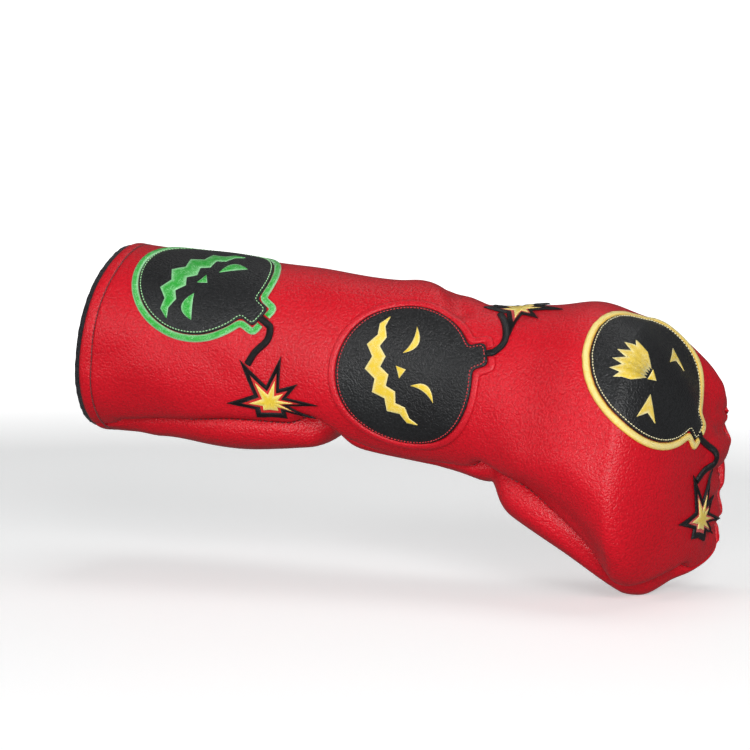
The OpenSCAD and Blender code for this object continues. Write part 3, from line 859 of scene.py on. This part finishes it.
def outline(m, grow):
    """The applique's outline, grown by grow: a circle with a stub, its corners rounded."""
    w = np.radians(np.arange(0, 360, 0.25))
    r = np.full(w.shape, m["r"] + grow)
    ahead = np.cos(w) > 0.5
    tip = (m["r"] + STUB_LONG + grow) / np.maximum(np.cos(w), 0.1)
    flank = (STUB_HALF + grow) / np.maximum(np.abs(np.sin(w)), 1e-3)
    r = np.where(ahead, np.maximum(r, np.minimum(tip, flank)), r)
    kernel = np.exp(-np.linspace(-2, 2, 13) ** 2)
    kernel /= kernel.sum()
    line = np.stack([r * np.cos(w), r * np.sin(w)], -1)
    line = resample(line, 0.25, closed=True)
    for _ in range(14):
        line = sum(k * np.roll(line, i - 6, 0) for i, k in enumerate(kernel))
    turn = math.radians(m["stub"])
    c, s = math.cos(turn), math.sin(turn)
    return line @ np.array([[c, s], [-s, c]])


def upright(m, p):
    """Face drawings have x to the right and y towards the stub."""
    t = math.radians(m["stub"])
    p = np.asarray(p, float) + m["shift"]
    return np.stack([p[..., 0] * math.sin(t) + p[..., 1] * math.cos(t),
                     -p[..., 0] * math.cos(t) + p[..., 1] * math.sin(t)], -1)


def cap(name, pattern, rim, rings, heights, low, material):
    """Plate inside a flat outline, star-shaped about its centre: heights runs centre to rim."""
    t = np.linspace(0, 1, rings + 1) ** 0.85
    points = t[:, None, None] * rim[None]
    place = pattern.lay(points)
    top = skin.at(place[..., 0], place[..., 1], heights(t)[:, None] * np.ones((1, len(rim))))
    bottom = skin.at(place[..., 0], place[..., 1], low)
    flat = np.concatenate([points, np.broadcast_to(t[:, None, None], (*points.shape[:2], 1))], -1)
    return shell(name, top, bottom, material, closed=True, cap=True, flat=flat)


def drawing(name, m, pattern, top_edge, low_edge, material):
    """Satin shape between two flat edges with as many points each."""
    fine = 5
    n = len(top_edge)
    s = np.linspace(0, n - 1, fine * (n - 1) + 1)
    hi = np.stack([np.interp(s, np.arange(n), np.asarray(top_edge)[:, c]) for c in (0, 1)], -1)
    lo = np.stack([np.interp(s, np.arange(n), np.asarray(low_edge)[:, c]) for c in (0, 1)], -1)
    t = np.linspace(0, 1, 9)
    points = lo[:, None] + (hi - lo)[:, None] * t[None, :, None]
    place = pattern.lay(upright(m, points))
    height = PATCH_TOP + 0.05 + 0.5 * crowned(2 * t - 1)[None] * np.ones((len(s), 1))
    top = skin.at(place[..., 0], place[..., 1], height)
    bottom = skin.at(place[..., 0], place[..., 1], PATCH_TOP - 0.3)
    run = np.cumsum(np.linalg.norm(np.diff((hi + lo) / 2, axis=0, prepend=[(hi[0] + lo[0]) / 2]),
                                   axis=1))
    flat = np.stack([run[:, None] * np.ones((1, 9)),
                     np.linalg.norm(hi - lo, axis=1)[:, None] * (t - 0.5)[None],
                     np.abs(2 * t - 1)[None] * np.ones((len(s), 1))], -1)
    return shell(name, top, bottom, material, flat=flat)


def polar(r, degrees):
    return (r * math.cos(math.radians(degrees)), r * math.sin(math.radians(degrees)))


def mouth_edges(span, radius, up, thick, teeth, tooth, taper):
    n = 2 * teeth
    top_edge, low_edge = [], []
    for k in range(n + 1):
        s = 2 * k / n - 1
        half = max(0.3, thick / 2 * (1 - abs(s) ** taper) ** 0.8)
        zig = tooth / 2 * (1 if k % 2 else -1) * (1 - abs(s) ** 4)
        for edge, r in ((top_edge, radius - half), (low_edge, radius + half)):
            x, y = polar(r + zig * r / radius, 270 + s * span)
            edge.append((x, y + up))
    return top_edge, low_edge


def spot_edges(at, width, rise, fall, tilt, pointed):
    t = np.linspace(-1, 1, 9)
    swell = 1 - np.abs(t) if pointed else 1 - t * t
    c, s = math.cos(math.radians(tilt)), math.sin(math.radians(tilt))

    def put(x, y):
        return np.stack([at[0] + x * c - y * s, at[1] + x * s + y * c], -1)
    return put(t * width / 2, 0.3 + rise * swell), put(t * width / 2, -fall * swell)


def star(m, tips, valleys):
    """Outline of a burst, its rays and its valleys cut to shares of their full length."""
    turn, rays = m["burst"][1], STAR_RAYS[m["burst"][2]]
    corners = []
    for k, (direction, reach) in enumerate(rays):
        gap = (direction - rays[(k + 1) % len(rays)][0]) % 360
        corners.append(polar(RAY_R * reach * tips, turn + direction))
        corners.append(polar(RAY_R * VALLEY * valleys, turn + direction - gap / 2))
    return np.array(corners)


def star_points(m, tips, valleys, parts=9):
    """The same outline with extra points along its edges, as many in every size."""
    corners = star(m, tips, valleys)
    after = np.roll(corners, -1, 0)
    t = np.linspace(0, 1, parts, endpoint=False)[None, :, None]
    return (corners[:, None] * (1 - t) + after[:, None] * t).reshape(-1, 2)


def ring(name, pattern, inner, outer, low, edge, crest, material, across=8):
    """Satin ring between two flat outlines with as many points each."""
    t = np.linspace(0, 1, across + 1)
    points = inner[:, None] * (1 - t)[None, :, None] + outer[:, None] * t[None, :, None]
    place = pattern.lay(points)
    height = edge + (crest - edge) * crowned(2 * t - 1)[None] * np.ones((len(inner), 1))
    top = skin.at(place[..., 0], place[..., 1], height)
    bottom = skin.at(place[..., 0], place[..., 1], low)
    step = np.linalg.norm(np.diff(inner + outer, axis=0, prepend=(inner + outer)[:1]), axis=1)
    s = np.cumsum(step / 2)[:, None] * np.ones((1, across + 1))
    width = np.linalg.norm(outer - inner, axis=1)[:, None]
    flat = np.stack([s, (t - 0.5)[None] * width, np.abs(2 * t - 1)[None] * np.ones_like(s)], -1)
    return loop_shell(name, top, bottom, material, flat)


def route_pattern(route):
    """Smooth route through places on the skin, read at 200 points."""
    fine = along(np.array(route, float), np.linspace(0, len(route) - 1, 200))
    return fine


def ribbon(name, route, half, low, edge, crest, material, across=8):
    """Raised band along a smooth route of places on the skin."""
    fine = route_pattern(route)
    p = skin.at(fine[:, 0], fine[:, 1], 0)
    line = resample(np.column_stack([p, fine]), 0.7)
    u, a = line[:, 3], line[:, 4]
    mid = skin.at(u, a, 0)
    up = unit(skin.at(u, a, 1.0) - mid)
    side = unit(np.cross(up, np.gradient(mid, axis=0)))
    t = np.linspace(-1, 1, across + 1)
    height = edge + (crest - edge) * crowned(t, 2.0)
    top = skin.at(u[:, None], a[:, None], height[None] * np.ones((len(u), 1)))
    bottom = skin.at(u[:, None], a[:, None], low + np.zeros((len(u), across + 1)))
    shift = side[:, None] * t[None, :, None] * half
    s = np.arange(len(u))[:, None] * 0.7 * np.ones((1, across + 1))
    flat = np.stack([s, t[None] * half * np.ones_like(s), np.abs(t)[None] * np.ones_like(s)], -1)
    return shell(name, top + shift, bottom + shift, material, flat=flat)


def patch_height(t):
    """The patch is lightly padded, dips at its row of stitches and rounds off at its edge."""
    return PATCH_TOP - (PATCH_TOP - PATCH_EDGE) * np.clip((t - 0.975) / 0.025, 0, 1) ** 2 \
        + 0.25 * (1 - t ** 6) - 0.12 * np.exp(-((t - 0.955) / 0.012) ** 2)


def build_motif(name, m):
    pattern = Pattern(m["centre"], m["r"] + STUB_LONG + BORDER_W + 2)
    rim = resample(outline(m, 0), 0.9, closed=True)
    patch = cap(name + "_applique", pattern, rim, 44, patch_height, PATCH_LOW, BLACK)
    stands_for(patch, name + "_patch")

    middle = resample(outline(m, BORDER_W / 2 + 0.15), 0.7, closed=True)
    start = middle[0]
    gap = np.linalg.norm(middle - start, axis=1) > FUSE_HALF + 0.3
    material, slot = m["border"]
    edging = band(name + "_edging", pattern, middle[gap], BORDER_W / 2 - 0.1, PATCH_LOW, 0.45,
                  1.35, material, across=12)
    stands_for(edging, name + "_border")

    line = resample(outline(m, -STITCH_INSET), STITCH_PITCH / 2, closed=True)
    line = line[:2 * (len(line) // 2)]
    place = pattern.lay(line)
    material, slot = m["thread"]
    row = stitch_row(name + "_stitches", place[:, 0], place[:, 1], PATCH_TOP + 0.12, 1.35, 0.27,
                     material, closed=True)
    stands_for(row, name + "_run_stitch")

    material, slot = m["face"]
    top_edge, low_edge = mouth_edges(*m["mouth"])
    grin = drawing(name + "_grin", m, pattern, top_edge, low_edge, material)
    stands_for(grin, name + "_mouth")
    edges = spot_edges((0, -3), 6.5, 5, 0.3, 0, True)
    nose = drawing(name + "_nose_satin", m, pattern, *edges, material)
    stands_for(nose, name + "_nose")
    width, rise, fall, tilt, apart, up, pointed = m["eyes"]
    for side, word in ((-1, "left"), (1, "right")):
        turn = tilt if pointed else side * tilt
        edges = spot_edges((side * apart, up), width, rise, fall, turn, pointed)
        eye = drawing(name + "_eye_satin_" + word, m, pattern, *edges, material)
        stands_for(eye, name + "_eye_" + word)

    stub = math.radians(m["stub"])
    tip = np.array([[math.cos(stub), math.sin(stub)]])
    first = [tuple(pattern.lay(tip * (m["r"] + STUB_LONG + g))[0]) for g in (-0.2, 2.0, BORDER_W)]
    cord = ribbon(name + "_fuse_satin", first + m["fuse"], FUSE_HALF, PATCH_LOW, 0.7, 1.7,
                  BLACK_SATIN)
    stands_for(cord, name + "_fuse")

    spark = Pattern(m["burst"][0], RAY_R + 2)
    edge = ring(name + "_burst_edging", spark, star_points(m, 0.62, 0.66), star_points(m, 1, 1),
                PATCH_LOW, 0.6, 1.35, BLACK_SATIN)
    stands_for(edge, name + "_burst_outline")
    fill = cap(name + "_burst_satin", spark, star_points(m, 0.64, 0.68), 16,
               lambda t: 0.85 - 0.15 * t ** 4, PATCH_LOW, BURST_RED)
    stands_for(fill, name + "_burst_fill")
    core = cap(name + "_burst_heart", spark, star_points(m, 0.47, 0.46), 12,
               lambda t: 1.3 - 0.3 * t ** 4, PATCH_LOW + 0.2, BURST_YELLOW)
    stands_for(core, name + "_burst_core")


for motif_name, motif in MOTIFS.items():
    build_motif(motif_name, motif)


# ---------------------------------------------------------------- floor, lights and camera
def studio():
    """White floor, which glows as painted light, more strongly away from the cover, and, far behind it, a
    white backdrop which only the camera sees.
    """
    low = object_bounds()[0][2]
    g = Graph("floor_glowing_white")
    grain = g.noise(g.position(1.0), 3.0)
    g.link(g.mix(grain.outputs["Fac"], (0.80, 0.81, 0.81), (0.83, 0.83, 0.83)),
           g.shader.inputs["Base Color"])
    g.set(rough=0.5, specular=0.2)
    # The floor glows: painted light, strength 0.4 near the middle rising to 1.2 from 0.55 to 1.3 m out, so
    # the far floor reads white.
    g.shader.inputs["Emission Color"].default_value = (1, 1, 1, 1)
    glow_distance = g.node("ShaderNodeVectorMath", operation="LENGTH")
    g.link(g.position(1.0), glow_distance.inputs[0])
    g.link(g.math("ADD", g.math("MULTIPLY", g.ramp(glow_distance.outputs["Value"], 0.55, 1.3), 0.8), 0.4),
           g.shader.inputs["Emission Strength"])
    size = 6.0
    mesh = bpy.data.meshes.new("floor")
    mesh.from_pydata([(-size, -size, low), (size, -size, low), (size, size, low),
                      (-size, size, low)], [], [(0, 1, 2, 3)])
    mesh.materials.append(g.material)
    floor = bpy.data.objects.new("floor", mesh)
    floor.visible_diffuse = False
    floor.visible_glossy = False
    g = Graph("backdrop_white")
    grain = g.noise(g.position(1.0), 0.5)
    g.link(g.mix(grain.outputs["Fac"], (0.9, 0.9, 0.9), (1, 1, 1)), g.shader.inputs["Base Color"])
    g.shader.inputs["Emission Color"].default_value = (1, 1, 1, 1)
    g.shader.inputs["Emission Strength"].default_value = 1.1
    sides, high = 48, 5.0
    rim = [(0.97 * size * math.cos(2 * math.pi * k / sides),
            0.97 * size * math.sin(2 * math.pi * k / sides)) for k in range(sides)]
    verts = [(x, y, low + z) for z in (0.0, high) for x, y in rim]
    faces = [(k, (k + 1) % sides, sides + (k + 1) % sides, sides + k) for k in range(sides)]
    faces.append(tuple(range(2 * sides - 1, sides - 1, -1)))
    mesh = bpy.data.meshes.new("backdrop")
    mesh.from_pydata(verts, [], faces)
    mesh.materials.append(g.material)
    backdrop = bpy.data.objects.new("backdrop", mesh)
    backdrop.visible_diffuse = False
    backdrop.visible_glossy = False
    backdrop.visible_shadow = False
    for thing in (floor, backdrop):
        bpy.context.scene.collection.objects.link(thing)
        thing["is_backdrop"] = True


def area_light(name, place, target, size, power, tint=(1, 1, 1)):
    data = bpy.data.lights.new(name, "AREA")
    data.shape = "RECTANGLE"
    data.size, data.size_y = size
    data.energy = power
    data.color = tint
    lamp = bpy.data.objects.new(name, data)
    bpy.context.scene.collection.objects.link(lamp)
    lamp.location = place
    aim = Vector(target) - Vector(place)
    lamp.rotation_euler = aim.to_track_quat("-Z", "Y").to_euler()


studio()
world = bpy.data.worlds.new("studio")
world.use_nodes = True
world.node_tree.nodes["Background"].inputs["Color"].default_value = (0.98, 0.99, 1.0, 1)
world.node_tree.nodes["Background"].inputs["Strength"].default_value = 0.16
bpy.context.scene.world = world
bpy.context.scene.view_settings.view_transform = "Standard"
area_light("key", (1.05, -1.25, 0.62), (0.2, 0, -0.04), (0.8, 0.6), 13)
area_light("left", (-0.75, -1.2, 0.4), (0.15, 0, -0.04), (0.7, 0.7), 7)
area_light("low", (0.62, -1.15, -0.04), (0.26, 0, -0.07), (0.7, 0.14), 10)
area_light("top", (0.3, 0.35, 1.3), (0.2, 0, -0.04), (1.0, 0.6), 4.5)

# The view: low and from the right of the front
AZIMUTH, ELEVATION, DISTANCE = math.radians(22), math.radians(5), 1.3
TARGET = np.array([0.153, 0.0, -0.017])
backwards = np.array([math.sin(AZIMUTH) * math.cos(ELEVATION),
                      -math.cos(AZIMUTH) * math.cos(ELEVATION), math.sin(ELEVATION)])
camera_data = bpy.data.cameras.new("view")
camera_data.sensor_width = 36.0
camera_data.lens = 116.4
camera = bpy.data.objects.new("view", camera_data)
bpy.context.scene.collection.objects.link(camera)
camera.location = TARGET + DISTANCE * backwards
camera.rotation_euler = (math.pi / 2 - ELEVATION, 0, AZIMUTH)
bpy.context.scene.camera = camera
